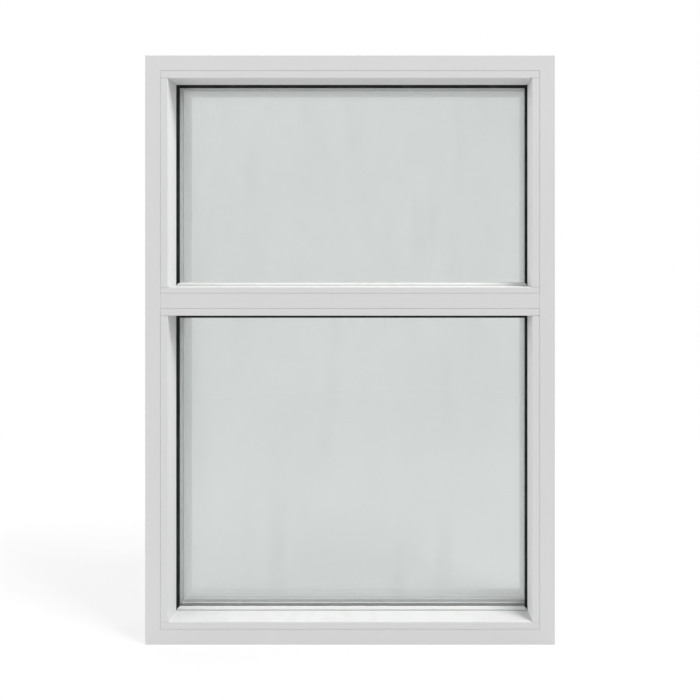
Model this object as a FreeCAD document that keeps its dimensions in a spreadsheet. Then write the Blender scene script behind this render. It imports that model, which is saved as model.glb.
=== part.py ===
"""Fixed picture window: two sealed units, one above the other, in a thermally broken aluminium frame.

Shared frame: millimetres, X to the right, Y away from the room side, Z up.
The origin is the middle of the underside of the frame; the room side faces -Y.

Every bar is drawn as a section and padded along its length. A section is a list of closed loops
of corners (across, depth): across runs from the outer edge of the frame towards the daylight
opening, depth runs from the room-side face towards the outside.
"""

import FreeCAD, Part
import math
import os
import re

import Sketcher

SIZES = [
    # Whole window
    ("overall_width", 914.0, "outside width of the frame"),
    ("overall_height", 1314.0, "outside height of the frame"),
    ("overall_depth", 114.3, "from the room-side face to the outside face"),
    ("transom_level", 733.5, "height of the lower daylight edge of the transom"),
    # Room-side profile
    ("tube_face", 34.8, "visible face of the frame tube"),
    ("tube_depth", 44.0, "depth of the room-side tube"),
    ("transom_face", 34.0, "visible face of the transom tube"),
    ("wall", 2.2, "wall of the extrusions"),
    ("edge_bevel", 0.8, "bevel on visible edges, half of the shadow line beside a bead"),
    # Glazing beads
    ("bead_face", 16.0, "visible face of a bead"),
    ("low_bead_face", 13.5, "visible face of the bead on top of the transom"),
    ("bead_depth", 35.0, "depth of a bead, back to the wedge gasket"),
    ("bead_draft", 3.0, "how far the reveal of a bead closes in towards the glass"),
    ("bead_wall", 1.5, "wall of a bead"),
    ("bead_lip", 9.0, "width of the lip that presses on the wedge gasket"),
    ("snap_level", 24.0, "depth at which the snap groove starts"),
    ("snap_width", 3.0, "width of the snap hook"),
    ("snap_reach", 1.0, "how far the hook enters the tube"),
    ("snap_clearance", 0.2, "play round the hook in its groove"),
    # Wedge gasket between bead and glass
    ("wedge_depth", 6.0, "its depth"),
    ("wedge_reach", 8.5, "how far it stands inside the daylight edge"),
    ("wedge_heel", 0.8, "depth of its square heel"),
    ("wedge_bite", 4.0, "how far it runs back behind the daylight edge"),
    ("rib_depth", 0.5, "depth of the grooves between the ribs that bear on the glass"),
    ("rib_pitch", 2.2, "from one rib to the next"),
    # Sealed units
    ("pane_thickness", 6.0, "one pane"),
    ("pane_gap", 13.4, "space between the two panes"),
    ("edge_clearance", 7.2, "glass edge to the floor of the glazing pocket"),
    ("spacer_width", 10.0, "width of the spacer round the space between the panes"),
    ("spacer_inset", 5.0, "glass edge to the spacer"),
    ("spacer_wall", 0.8, "wall of the spacer channel"),
    ("block_length", 100.0, "length of a setting block"),
    # Gasket on the outside of the glass, and the race that holds its foot
    ("rear_gasket_depth", 3.2, "its depth"),
    ("rear_gasket_reach", 3.2, "how far it stands inside the daylight edge"),
    ("rear_gasket_bite", 6.5, "how far it runs back behind the daylight edge"),
    ("race_inset", 3.8, "middle of the race behind the daylight edge"),
    ("race_mouth", 3.0, "width of the mouth of the race"),
    ("race_lip", 1.2, "thickness of the lips of the race"),
    ("race_width", 5.0, "width inside the race"),
    ("race_depth", 2.6, "depth behind the lips"),
    ("race_wall", 1.6, "wall round the race"),
    ("race_clearance", 0.1, "play of the gasket's foot in the race"),
    # Outside profile
    ("rear_reach", 6.2, "how far it stands inside the daylight edge"),
    ("rear_foot", 3.2, "how far its foot stands forward of the gasket seat"),
    ("rear_bevel", 3.0, "bevel on the outside edge of the opening"),
    # Thermal strips between the two profiles
    ("strip_thickness", 2.0, "thickness of a strip"),
    ("strip_leg", 1.4, "width of the legs that grip a strip"),
    ("strip_grip", 3.0, "how far the legs reach along a strip"),
    ("strip_flare", 0.5, "how far the foot of a strip spreads under its legs"),
    # Corner keys
    ("key_arm", 60.0, "length of each arm of a corner key"),
    ("key_clearance", 0.2, "play of a corner key in its tube"),
    # Screw ports in the transom, and the holes for their screws in the jambs
    ("port_radius", 3.6, "outside of a screw port"),
    ("port_bore", 2.0, "inside radius of a screw port"),
    ("port_mouth", 2.4, "opening along a screw port"),
    ("port_sink", 0.8, "how far a port runs into the wall that carries it"),
    ("low_port_depth", 12.0, "depth of the lower port in the room-side tube"),
    ("high_port_depth", 33.0, "depth of the upper port in the room-side tube"),
    ("rear_port_depth", 92.0, "depth of the ports in the outside profile"),
    ("screw_hole", 4.8, "hole for a transom screw in a jamb"),
    ("screw_access", 10.0, "hole in the outer wall that lets its head through"),
    # Weep slots and frame anchors
    ("slot_width", 25.0, "length of a weep slot from end to end"),
    ("slot_tall", 5.0, "height of a weep slot"),
    ("slot_from_side", 110.0, "middle of the first weep slot from the side of the frame"),
    ("slot_level", 7.0, "middle of a weep slot above the lower edge of its profile"),
    ("anchor_radius", 3.5, "hole for a frame anchor"),
    ("anchor_depth", 18.0, "anchor holes behind the room-side face"),
    ("anchor_spacing", 900.0, "between the two anchor holes in one jamb"),
]

# How far a cutting sketch runs past what it cuts
PAST = "1"

# Ribs on a wedge gasket
RIB_COUNT = 3

# Depths
ROOM_FACE = "-overall_depth / 2"
GLASS_FRONT = "(bead_depth + wedge_depth)"
GAP_FRONT = "(" + GLASS_FRONT + " + pane_thickness)"
OUTER_PANE_FRONT = "(" + GAP_FRONT + " + pane_gap)"
GLASS_BACK = "(" + OUTER_PANE_FRONT + " + pane_thickness)"
REAR_SEAT = "(" + GLASS_BACK + " + rear_gasket_depth)"
FOOT_FRONT = "(" + REAR_SEAT + " - rear_foot)"

# Places across the frame, inwards from its outer edge
DAYLIGHT = "(tube_face + bead_face)"
OUTSIDE_REACH = "(tube_face + bead_face + rear_reach)"
GLASS_EDGE = "(tube_face + edge_clearance)"
STRIP_SEAT = "(2 * strip_leg + strip_thickness)"

# Heights at the transom
TRANSOM_TUBE = "(transom_level + bead_face)"
TRANSOM_TOP = "(transom_level + bead_face + transom_face)"
UPPER_DAYLIGHT = "(transom_level + bead_face + transom_face + low_bead_face)"

# Openings and glass, as (left, low, right, high)
LEFT = "(-overall_width / 2)"
RIGHT = "(overall_width / 2)"
FRAME = (LEFT, "0", RIGHT, "overall_height")
OPENING_LEFT = "(" + LEFT + " + " + DAYLIGHT + ")"
OPENING_RIGHT = "(" + RIGHT + " - " + DAYLIGHT + ")"
LOWER_OPENING = (OPENING_LEFT, DAYLIGHT, OPENING_RIGHT, "transom_level")
UPPER_OPENING = (OPENING_LEFT, UPPER_DAYLIGHT, OPENING_RIGHT, "(overall_height - " + DAYLIGHT + ")")
GLASS_LEFT = "(" + LEFT + " + " + GLASS_EDGE + ")"
GLASS_RIGHT = "(" + RIGHT + " - " + GLASS_EDGE + ")"
LOWER_GLASS = (GLASS_LEFT, GLASS_EDGE, GLASS_RIGHT, "(" + TRANSOM_TUBE + " - edge_clearance)")
UPPER_GLASS = (
    GLASS_LEFT,
    "(" + TRANSOM_TOP + " + edge_clearance)",
    GLASS_RIGHT,
    "(overall_height - " + GLASS_EDGE + ")",
)

# Between the two jamb tubes
TUBE_LEFT = "(" + LEFT + " + tube_face)"
TUBE_RIGHT = "(" + RIGHT + " - tube_face)"
TUBE_SPAN = "(overall_width - 2 * tube_face)"

doc = FreeCAD.newDocument("picture_window")
sheet = doc.addObject("Spreadsheet::Sheet", "sizes")
for row, (alias, value, meaning) in enumerate(SIZES, start=1):
    sheet.set("A%d" % row, alias)
    sheet.set("B%d" % row, str(value))
    sheet.setAlias("B%d" % row, alias)
    sheet.set("C%d" % row, meaning)
doc.recompute()

bodies = []


def bind(formula):
    """The formula with every size written as a reference to the sheet."""
    return re.sub(r"[a-z_]+", lambda found: "sizes." + found.group(), formula)


def value_of(formula):
    """The formula's present value, used to place geometry near where its constraints hold it."""
    return float(sheet.evalExpression(bind(formula)))


def span(start, end):
    """The distance between two positions."""
    return "(" + end + " - " + start + ")"


def grown(rectangle, margin):
    """A rectangle (left, low, right, high) moved outwards on all four sides."""
    left, low, right, high = rectangle
    return (
        "(" + left + " - " + margin + ")",
        "(" + low + " - " + margin + ")",
        "(" + right + " + " + margin + ")",
        "(" + high + " + " + margin + ")",
    )


# Bodies and sketches


def add_body(name, x, y, z):
    """A new body at a position given by three formulas."""
    body = doc.addObject("PartDesign::Body", name)
    body.Label = name
    for axis, formula in (("x", x), ("y", y), ("z", z)):
        body.setExpression("Placement.Base." + axis, bind(formula))
    bodies.append(body)
    return body


def add_sketch(body, name, plane, behind=None):
    """An empty sketch on one of the body's own origin planes, or at a depth behind the XZ plane."""
    sketch = body.newObject("Sketcher::SketchObject", body.Name + "_" + name)
    support = next(item for item in body.Origin.OriginFeatures if item.Role == plane)
    sketch.AttachmentSupport = [(support, "")]
    sketch.MapMode = "FlatFace"
    if behind:
        # The XZ plane looks towards the room, so a place behind it has a negative offset
        sketch.setExpression("AttachmentOffset.Base.z", bind("-" + behind))
    return sketch


def hold(sketch, kind, edge, end, formula):
    """Hold one end (or the centre, 3) of an edge at a coordinate that follows the sheet."""
    index = sketch.addConstraint(Sketcher.Constraint(kind, edge, end, value_of(formula)))
    sketch.setExpression("Constraints[%d]" % index, bind(formula))


def hold_radius(sketch, edge, formula):
    index = sketch.addConstraint(Sketcher.Constraint("Radius", edge, value_of(formula)))
    sketch.setExpression("Constraints[%d]" % index, bind(formula))


def draw_loop(sketch, corners):
    """Closed outline through corners given as pairs of formulas.

    Edges along an axis are held level or upright, so each of their coordinates is given once.
    """
    first = sketch.GeometryCount
    count = len(corners)
    points = [FreeCAD.Vector(value_of(a), value_of(b), 0) for a, b in corners]
    for i in range(count):
        sketch.addGeometry(Part.LineSegment(points[i], points[(i + 1) % count]))
    for i in range(count):
        follower = first + (i + 1) % count
        sketch.addConstraint(Sketcher.Constraint("Coincident", first + i, 2, follower, 1))
    for i, (a, b) in enumerate(corners):
        before = corners[i - 1]
        for kind, tie, here, there in (
            ("DistanceX", "Vertical", a, before[0]),
            ("DistanceY", "Horizontal", b, before[1]),
        ):
            if i > 0 and here == there:
                sketch.addConstraint(Sketcher.Constraint(tie, first + i - 1))
            else:
                hold(sketch, kind, first + i, 1, here)


def draw_rectangle(sketch, rectangle):
    left, low, right, high = rectangle
    draw_loop(sketch, [(left, low), (right, low), (right, high), (left, high)])


def draw_circle(sketch, a, b, radius):
    """A circle about (a, b), all three given as formulas."""
    middle = FreeCAD.Vector(value_of(a), value_of(b), 0)
    edge = sketch.addGeometry(Part.Circle(middle, FreeCAD.Vector(0, 0, 1), value_of(radius)))
    hold(sketch, "DistanceX", edge, 3, a)
    hold(sketch, "DistanceY", edge, 3, b)
    hold_radius(sketch, edge, radius)


def draw_slot(sketch, a, b, length, height):
    """A level slot with round ends about (a, b)."""
    radius = "(" + height + " / 2)"
    left = "(" + a + " - " + length + " / 2 + " + radius + ")"
    right = "(" + a + " + " + length + " / 2 - " + radius + ")"
    r = value_of(radius)
    rise = FreeCAD.Vector(0, r, 0)
    from_left = FreeCAD.Vector(value_of(left), value_of(b), 0)
    from_right = FreeCAD.Vector(value_of(right), value_of(b), 0)
    quarter = math.pi / 2

    def round_end(centre, start):
        circle = Part.Circle(centre, FreeCAD.Vector(0, 0, 1), r)
        return Part.ArcOfCircle(circle, start, start + 2 * quarter)

    base = sketch.addGeometry(Part.LineSegment(from_left - rise, from_right - rise))
    right_end = sketch.addGeometry(round_end(from_right, -quarter))
    top = sketch.addGeometry(Part.LineSegment(from_right + rise, from_left + rise))
    left_end = sketch.addGeometry(round_end(from_left, quarter))
    for edge, follower in ((base, right_end), (right_end, top), (top, left_end), (left_end, base)):
        sketch.addConstraint(Sketcher.Constraint("Tangent", edge, 2, follower, 1))
    sketch.addConstraint(Sketcher.Constraint("Equal", left_end, right_end))
    for end, place in ((left_end, left), (right_end, right)):
        hold(sketch, "DistanceX", end, 3, place)
        hold(sketch, "DistanceY", end, 3, b)
    hold_radius(sketch, right_end, radius)


# Features


def add_pad(body, name, sketch, length, reverse=False):
    pad = body.newObject("PartDesign::Pad", body.Name + "_" + name)
    pad.Profile = sketch
    pad.setExpression("Length", bind(length))
    pad.Reversed = reverse


def add_cut(body, name, sketch):
    """Cut a sketch through the whole body, to both sides of the sketch."""
    cut = body.newObject("PartDesign::Pocket", body.Name + "_" + name)
    cut.Profile = sketch
    cut.Type = "ThroughAll"
    cut.SideType = "Symmetric"
    return cut


def add_upright(name, loops, x, z, length, side):
    """A bar along Z. side is "" where the section runs towards +X, "-" where it runs towards -X."""
    body = add_body(name, x, ROOM_FACE, z)
    sketch = add_sketch(body, "section", "XY_Plane")
    for loop in loops:
        draw_loop(sketch, [(side + "(" + across + ")", depth) for across, depth in loop])
    add_pad(body, "bar", sketch, length)
    return body


def add_level(name, loops, x, z, length, side):
    """A bar along X. side is "" where the section runs upwards, "-" where it runs downwards."""
    body = add_body(name, x, ROOM_FACE, z)
    sketch = add_sketch(body, "section", "YZ_Plane")
    for loop in loops:
        draw_loop(sketch, [(depth, side + "(" + across + ")") for across, depth in loop])
    add_pad(body, "bar", sketch, length)
    return body


def mitre(body, upright, length, reach, side):
    """Cut both ends of a bar at 45 degrees; reach is the width of its section."""
    near = side + "(-" + PAST + ")"
    far = side + "(" + reach + " + " + PAST + ")"
    start = "-" + PAST
    end = length + " + " + PAST
    start_corners = [(near, start), (far, start), (far, reach + " + " + PAST)]
    end_corners = [(near, end), (far, end), (far, length + " - " + reach + " - " + PAST)]
    sketch = add_sketch(body, "mitres", "XZ_Plane")
    for corners in (start_corners, end_corners):
        draw_loop(sketch, corners if upright else [(along, across) for across, along in corners])
    add_cut(body, "mitred", sketch)


def add_surround(prefix, loops, rectangle, reach):
    """Four mitred bars round a rectangle; their sections run inwards from its edges."""
    left, low, right, high = rectangle
    tall = span(low, high)
    wide = span(left, right)
    for name, x, side in ((prefix + "_left", left, ""), (prefix + "_right", right, "-")):
        mitre(add_upright(name, loops, x, low, tall, side), True, tall, reach, side)
    for name, z, side in ((prefix + "_bottom", low, ""), (prefix + "_top", high, "-")):
        mitre(add_level(name, loops, left, z, wide, side), False, wide, reach, side)


def add_plate(name, layers):
    """A body on the opening, of layers (layer name, rectangles, depth, thickness).

    A rectangle inside another one leaves the plate open there.
    """
    body = add_body(name, "0", ROOM_FACE, "0")
    for layer, rectangles, depth, thickness in layers:
        sketch = add_sketch(body, layer + "_outline", "XZ_Plane", behind=depth)
        for rectangle in rectangles:
            draw_rectangle(sketch, rectangle)
        add_pad(body, layer, sketch, thickness, reverse=True)


# Sections

SNAP_START = "(snap_level - snap_clearance)"
SNAP_END = "(snap_level + snap_width + snap_clearance)"
SNAP_DEEP = "(snap_reach + snap_clearance)"
LEG_TIP = "(tube_depth + strip_grip)"
FOOT_TIP = "(" + FOOT_FRONT + " - strip_grip)"


def strip_seat(start, root, tip):
    """Two legs with a gap between them that widens towards its root."""
    return [
        (start, tip),
        (start + " + strip_leg", tip),
        (start + " + strip_leg - strip_flare", root),
        (start + " + strip_leg + strip_thickness + strip_flare", root),
        (start + " + strip_leg + strip_thickness", tip),
        (start + " + 2 * strip_leg + strip_thickness", tip),
    ]


def gripping_edge(face, root, tip):
    """The edge of a profile towards the thermal strips, from across 0 to its face width."""
    near = strip_seat("0", root, tip)
    far = strip_seat(face + " - " + STRIP_SEAT, root, tip)
    far[-1] = (face, tip)
    return near + [(near[-1][0], root), (far[0][0], root)] + far


def strip_section(face):
    """Two thermal strips with flared feet, one along each side of a profile."""
    loops = []
    for start in ("0", face + " - " + STRIP_SEAT):
        low = start + " + strip_leg"
        high = low + " + strip_thickness"
        loops.append(
            [
                (low + " - strip_flare", "tube_depth"),
                (high + " + strip_flare", "tube_depth"),
                (high, LEG_TIP),
                (high, FOOT_TIP),
                (high + " + strip_flare", FOOT_FRONT),
                (low + " - strip_flare", FOOT_FRONT),
                (low, FOOT_TIP),
                (low, LEG_TIP),
            ]
        )
    return loops


def snap_groove(side_face, inwards):
    """The groove for a bead's hook in the side of a tube; inwards is " + " or " - "."""
    deep = side_face + inwards + SNAP_DEEP
    return [(side_face, SNAP_START), (deep, SNAP_START), (deep, SNAP_END), (side_face, SNAP_END)]


def tube_front(face):
    """The visible face of a tube with its two bevels."""
    return [("edge_bevel", "0"), (face + " - edge_bevel", "0"), (face, "edge_bevel")]


def tube_hollow(face):
    back = "tube_depth - wall"
    inner = face + " - wall"
    return [("wall", "wall"), (inner, "wall"), (inner, back), ("wall", back)]


room_side_section = [
    tube_front("tube_face")
    + snap_groove("tube_face", " - ")
    + gripping_edge("tube_face", "tube_depth", LEG_TIP)[::-1]
    + [("0", "edge_bevel")],
    tube_hollow("tube_face"),
]

transom_section = [
    tube_front("transom_face")
    + snap_groove("transom_face", " - ")
    + gripping_edge("transom_face", "tube_depth", LEG_TIP)[::-1]
    + snap_groove("0", " + ")[::-1]
    + [("0", "edge_bevel")],
    tube_hollow("transom_face"),
]


def race_cut(middle):
    """The undercut race that holds the rear gasket's foot, with its mouth in the seat."""
    low_mouth = middle + " - race_mouth / 2"
    high_mouth = middle + " + race_mouth / 2"
    low_side = middle + " - race_width / 2"
    high_side = middle + " + race_width / 2"
    lip = REAR_SEAT + " + race_lip"
    floor = REAR_SEAT + " + race_lip + race_depth"
    return [
        (low_mouth, REAR_SEAT),
        (low_mouth, lip),
        (low_side, lip),
        (low_side, floor),
        (high_side, floor),
        (high_side, lip),
        (high_mouth, lip),
        (high_mouth, REAR_SEAT),
    ]


HOLLOW_FRONT = REAR_SEAT + " + wall"
HOLLOW_BACK = "overall_depth - wall"
HOLLOW_BEVEL = "overall_depth - rear_bevel - wall / 2"
FOOT_HOLLOW = FOOT_FRONT + " + wall"
BEVEL_FRONT = "overall_depth - rear_bevel"


def race_back(middle):
    """The walls of the race as they stand in the hollow behind the seat."""
    low_side = middle + " - race_width / 2 - race_wall"
    high_side = middle + " + race_width / 2 + race_wall"
    back = REAR_SEAT + " + race_lip + race_depth + race_wall"
    return [(low_side, HOLLOW_FRONT), (low_side, back), (high_side, back), (high_side, HOLLOW_FRONT)]


RACE_MIDDLE = "(tube_face + bead_face - race_inset)"

outside_section = [
    gripping_edge("tube_face", FOOT_FRONT, FOOT_TIP)
    + [("tube_face", REAR_SEAT)]
    + race_cut(RACE_MIDDLE)
    + [
        (OUTSIDE_REACH, REAR_SEAT),
        (OUTSIDE_REACH, BEVEL_FRONT),
        (OUTSIDE_REACH + " - rear_bevel", "overall_depth"),
        ("0", "overall_depth"),
    ],
    [
        ("wall", FOOT_HOLLOW),
        ("tube_face - wall", FOOT_HOLLOW),
        ("tube_face - wall", HOLLOW_FRONT),
    ]
    + race_back(RACE_MIDDLE)
    + [
        (OUTSIDE_REACH + " - wall", HOLLOW_FRONT),
        (OUTSIDE_REACH + " - wall", HOLLOW_BEVEL),
        (OUTSIDE_REACH + " - rear_bevel - wall / 2", HOLLOW_BACK),
        ("wall", HOLLOW_BACK),
    ],
]

LOW_STOP = "(-bead_face - rear_reach)"
HIGH_STOP = "(transom_face + low_bead_face + rear_reach)"
LOW_RACE = "(-bead_face + race_inset)"
HIGH_RACE = "(transom_face + low_bead_face - race_inset)"

transom_outside_section = [
    gripping_edge("transom_face", FOOT_FRONT, FOOT_TIP)
    + [("transom_face", REAR_SEAT)]
    + race_cut(HIGH_RACE)
    + [
        (HIGH_STOP, REAR_SEAT),
        (HIGH_STOP, BEVEL_FRONT),
        (HIGH_STOP + " - rear_bevel", "overall_depth"),
        (LOW_STOP + " + rear_bevel", "overall_depth"),
        (LOW_STOP, BEVEL_FRONT),
        (LOW_STOP, REAR_SEAT),
    ]
    + race_cut(LOW_RACE)
    + [("0", REAR_SEAT)],
    [(LOW_STOP + " + wall", HOLLOW_FRONT)]
    + race_back(LOW_RACE)
    + [
        ("wall", HOLLOW_FRONT),
        ("wall", FOOT_HOLLOW),
        ("transom_face - wall", FOOT_HOLLOW),
        ("transom_face - wall", HOLLOW_FRONT),
    ]
    + race_back(HIGH_RACE)
    + [
        (HIGH_STOP + " - wall", HOLLOW_FRONT),
        (HIGH_STOP + " - wall", HOLLOW_BEVEL),
        (HIGH_STOP + " - rear_bevel - wall / 2", HOLLOW_BACK),
        (LOW_STOP + " + rear_bevel + wall / 2", HOLLOW_BACK),
        (LOW_STOP + " + wall", HOLLOW_BEVEL),
    ],
]


def bead_section(face):
    """A snap-in bead: face, reveal leg with a lip for the gasket, and hooked leg beside the tube."""
    back = face + " + bead_draft"
    hook_back = "snap_level + snap_width"
    return [
        [
            ("edge_bevel", "0"),
            (face + " - edge_bevel", "0"),
            (face, "edge_bevel"),
            (back, "bead_depth"),
            (back + " - bead_lip", "bead_depth"),
            (back + " - bead_lip", "bead_depth - bead_wall"),
            (back + " - bead_wall", "bead_depth - bead_wall"),
            (face + " - bead_wall", "bead_wall"),
            ("bead_wall", "bead_wall"),
            ("bead_wall", hook_back),
            ("-snap_reach", hook_back),
            ("-snap_reach", "snap_level"),
            ("0", "snap_level"),
            ("0", "edge_bevel"),
        ]
    ]


WEDGE_WIDTH = "(wedge_bite + wedge_reach)"

wedge_corners = [
    ("0", "bead_depth"),
    ("wedge_bite + bead_draft - edge_bevel", "bead_depth"),
    (WEDGE_WIDTH, GLASS_FRONT + " - wedge_heel"),
    (WEDGE_WIDTH, GLASS_FRONT),
]
for rib in range(1, RIB_COUNT + 1):
    wedge_corners.append((WEDGE_WIDTH + " - %d * rib_pitch" % rib, GLASS_FRONT))
    groove = WEDGE_WIDTH + " - %d * rib_pitch - rib_pitch / 2" % rib
    wedge_corners.append((groove, GLASS_FRONT + " - rib_depth"))
wedge_corners.append((WEDGE_WIDTH + " - %d * rib_pitch" % (RIB_COUNT + 1), GLASS_FRONT))
wedge_corners.append(("0", GLASS_FRONT))

# Frame: room-side tubes, thermal strips and outside profiles, mitred and keyed at the corners


def add_corner_keys(name, depth, thickness):
    """Four L-shaped keys, one in each corner of the frame's hollow."""
    near = "(wall + key_clearance)"
    far = "(tube_face - wall - key_clearance)"
    tip = "(wall + key_clearance + key_arm)"
    body = add_body(name, "0", ROOM_FACE, "0")
    sketch = add_sketch(body, "outlines", "XZ_Plane", behind=depth)
    for edge_x, to_x in ((LEFT, " + "), (RIGHT, " - ")):
        for edge_z, to_z in (("0", " + "), ("overall_height", " - ")):
            corners = [(near, near), (tip, near), (tip, far), (far, far), (far, tip), (near, tip)]
            draw_loop(sketch, [(edge_x + to_x + a, edge_z + to_z + b) for a, b in corners])
    add_pad(body, "keys", sketch, thickness, reverse=True)


add_surround("frame_inner", room_side_section, FRAME, "tube_face")
add_surround("thermal_strip", strip_section("tube_face"), FRAME, "tube_face")
add_surround("frame_outer", outside_section, FRAME, OUTSIDE_REACH)
add_corner_keys("corner_keys_inner", "(wall + key_clearance)", "tube_depth - 2 * (wall + key_clearance)")
add_corner_keys(
    "corner_keys_outer",
    "(" + FOOT_HOLLOW + " + key_clearance)",
    "overall_depth - " + FOOT_FRONT + " - 2 * (wall + key_clearance)",
)

# Transom between the jambs: its outside profile is coped over the stops of the jambs

transom_inner = add_level("transom_inner", transom_section, TUBE_LEFT, TRANSOM_TUBE, TUBE_SPAN, "")
add_level("transom_strip", strip_section("transom_face"), TUBE_LEFT, TRANSOM_TUBE, TUBE_SPAN, "")
transom_outer = add_level(
    "transom_outer", transom_outside_section, TUBE_LEFT, TRANSOM_TUBE, TUBE_SPAN, ""
)

ON_WALL = "(wall + port_radius - port_sink)"
INNER_PORTS = (
    ("low_port_depth", ON_WALL, " + "),
    ("high_port_depth", "(transom_face - " + ON_WALL + ")", " - "),
)
OUTER_PORTS = (
    ("rear_port_depth", "(" + LOW_STOP + " + " + ON_WALL + ")", " + "),
    ("rear_port_depth", "(" + HIGH_STOP + " - " + ON_WALL + ")", " - "),
)


def add_screw_ports(body, ports):
    """Round channels along a hollow, each open on the side away from the wall that carries it."""
    rings = add_sketch(body, "ports", "YZ_Plane")
    mouths = add_sketch(body, "port_mouths", "YZ_Plane")
    for depth, across, inwards in ports:
        draw_circle(rings, depth, across, "port_radius")
        draw_circle(rings, depth, across, "port_bore")
        beyond = across + inwards + "(port_radius + " + PAST + ")"
        draw_rectangle(mouths, (depth + " - port_mouth / 2", across, depth + " + port_mouth / 2", beyond))
    add_pad(body, "port_rings", rings, TUBE_SPAN)
    add_cut(body, "port_openings", mouths)


def cope_ends(body, length, reach, depth):
    """Cut away both ends of a bar behind a depth, so that they lie on what stands there."""
    sketch = add_sketch(body, "copes", "XY_Plane")
    back = "overall_depth + " + PAST
    draw_rectangle(sketch, ("-" + PAST, depth, reach, back))
    draw_rectangle(sketch, (length + " - " + reach, depth, length + " + " + PAST, back))
    add_cut(body, "coped", sketch)


def add_screw_holes(body, ports, across_wall, side):
    """Holes through a jamb into the transom's ports, opened up in the outer wall for screw heads."""
    sketch = add_sketch(body, "screw_places", "YZ_Plane")
    for depth, height, _ in ports:
        draw_circle(sketch, depth, TRANSOM_TUBE + " + " + height, "screw_hole / 2")
    doc.recompute()
    hole = body.newObject("PartDesign::Hole", body.Name + "_screw_holes")
    hole.Profile = sketch
    hole.DepthType = "ThroughAll"
    hole.HoleCutType = "Counterbore"
    hole.HoleCutCustomValues = True
    hole.setExpression("Diameter", bind("screw_hole"))
    hole.setExpression("HoleCutDiameter", bind("screw_access"))
    hole.setExpression("HoleCutDepth", bind(across_wall + " - wall"))
    hole.Reversed = side == ""


add_screw_ports(transom_inner, INNER_PORTS)
add_screw_ports(transom_outer, OUTER_PORTS)
cope_ends(transom_outer, TUBE_SPAN, "(bead_face + rear_reach)", REAR_SEAT)
for hand, side in (("left", ""), ("right", "-")):
    add_screw_holes(doc.getObject("frame_inner_" + hand), INNER_PORTS, "tube_face", side)
    add_screw_holes(doc.getObject("frame_outer_" + hand), OUTER_PORTS, OUTSIDE_REACH, side)

# Beads


def add_beads(prefix, opening, low_face, high_tube):
    """Beads round one opening: level beads from jamb to jamb, upright beads between them."""
    left, low, right, high = opening
    tall = span(low, high)
    add_level(prefix + "_bottom", bead_section(low_face), TUBE_LEFT, low + " - " + low_face, TUBE_SPAN, "")
    add_level(prefix + "_top", bead_section("bead_face"), TUBE_LEFT, high_tube, TUBE_SPAN, "-")
    for name, x, side in ((prefix + "_left", TUBE_LEFT, ""), (prefix + "_right", TUBE_RIGHT, "-")):
        body = add_upright(name, bead_section("bead_face"), x, low, tall, side)
        # The ends follow the sloping reveals of the level beads
        sketch = add_sketch(body, "copes", "YZ_Plane")
        for end, inwards, outwards in (("0", " + ", " - "), (tall, " - ", " + ")):
            past = end + outwards + "(bead_draft + " + PAST + ")"
            draw_loop(
                sketch,
                [
                    ("-bead_depth", end + outwards + "bead_draft"),
                    ("2 * bead_depth", end + inwards + "2 * bead_draft"),
                    ("2 * bead_depth", past),
                    ("-bead_depth", past),
                ],
            )
        add_cut(body, "coped", sketch)


add_beads("lower_bead", LOWER_OPENING, "bead_face", TRANSOM_TUBE)
add_beads("upper_bead", UPPER_OPENING, "low_bead_face", "overall_height - tube_face")

# Sealed units, gaskets and setting blocks


def add_sealed_unit(prefix, glass):
    """Two panes, the spacer channel between them and the seal that fills the edge round it."""
    edge = grown(glass, "(-spacer_inset)")
    web = grown(glass, "(-spacer_inset - spacer_width + spacer_wall)")
    inside = grown(glass, "(-spacer_inset - spacer_width)")
    channel_front = "(" + GAP_FRONT + " + spacer_wall)"
    channel_back = "(" + OUTER_PANE_FRONT + " - spacer_wall)"
    channel_width = "pane_gap - 2 * spacer_wall"
    add_plate(prefix + "_pane_inner", [("pane", (glass,), GLASS_FRONT, "pane_thickness")])
    add_plate(prefix + "_pane_outer", [("pane", (glass,), OUTER_PANE_FRONT, "pane_thickness")])
    add_plate(
        prefix + "_spacer",
        [
            ("front_flange", (edge, inside), GAP_FRONT, "spacer_wall"),
            ("web", (web, inside), channel_front, channel_width),
            ("back_flange", (edge, inside), channel_back, "spacer_wall"),
        ],
    )
    add_plate(
        prefix + "_edge_seal",
        [
            ("edge", (glass, edge), GAP_FRONT, "pane_gap"),
            ("filling", (edge, web), channel_front, channel_width),
        ],
    )


def add_rear_gasket(name, opening, transom_race):
    """The gasket outside the glass, with a headed foot in the race.

    The foot is notched where it crosses from the race of a jamb to the one of the transom.
    """

    def foot_ring(half_width):
        outer = grown(opening, "(race_inset + " + half_width + ")")
        return outer, grown(opening, "(race_inset - " + half_width + ")")

    plate = (grown(opening, "rear_gasket_bite"), grown(opening, "(-rear_gasket_reach)"))
    neck = foot_ring("(race_mouth / 2 - race_clearance)")
    head = foot_ring("(race_width / 2 - race_clearance)")
    behind_lips = "(" + REAR_SEAT + " + race_lip)"
    add_plate(
        name,
        [
            ("plate", plate, GLASS_BACK, "rear_gasket_depth"),
            ("neck", neck, REAR_SEAT, "race_lip"),
            ("head", head, behind_lips, "race_depth - race_clearance"),
        ],
    )
    body = doc.getObject(name)
    left, _, right, _ = opening
    sketch = add_sketch(body, "notches", "XZ_Plane", behind=REAR_SEAT)
    low = transom_race + " - race_width / 2"
    high = transom_race + " + race_width / 2"
    past_mouth = "(race_inset - race_mouth / 2 + race_clearance)"
    draw_rectangle(sketch, (left + " - " + past_mouth, low, left + " + rear_reach", high))
    draw_rectangle(sketch, (right + " - rear_reach", low, right + " + " + past_mouth, high))
    notch = body.newObject("PartDesign::Pocket", name + "_notched")
    notch.Profile = sketch
    notch.setExpression("Length", bind("race_lip + race_depth"))


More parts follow.
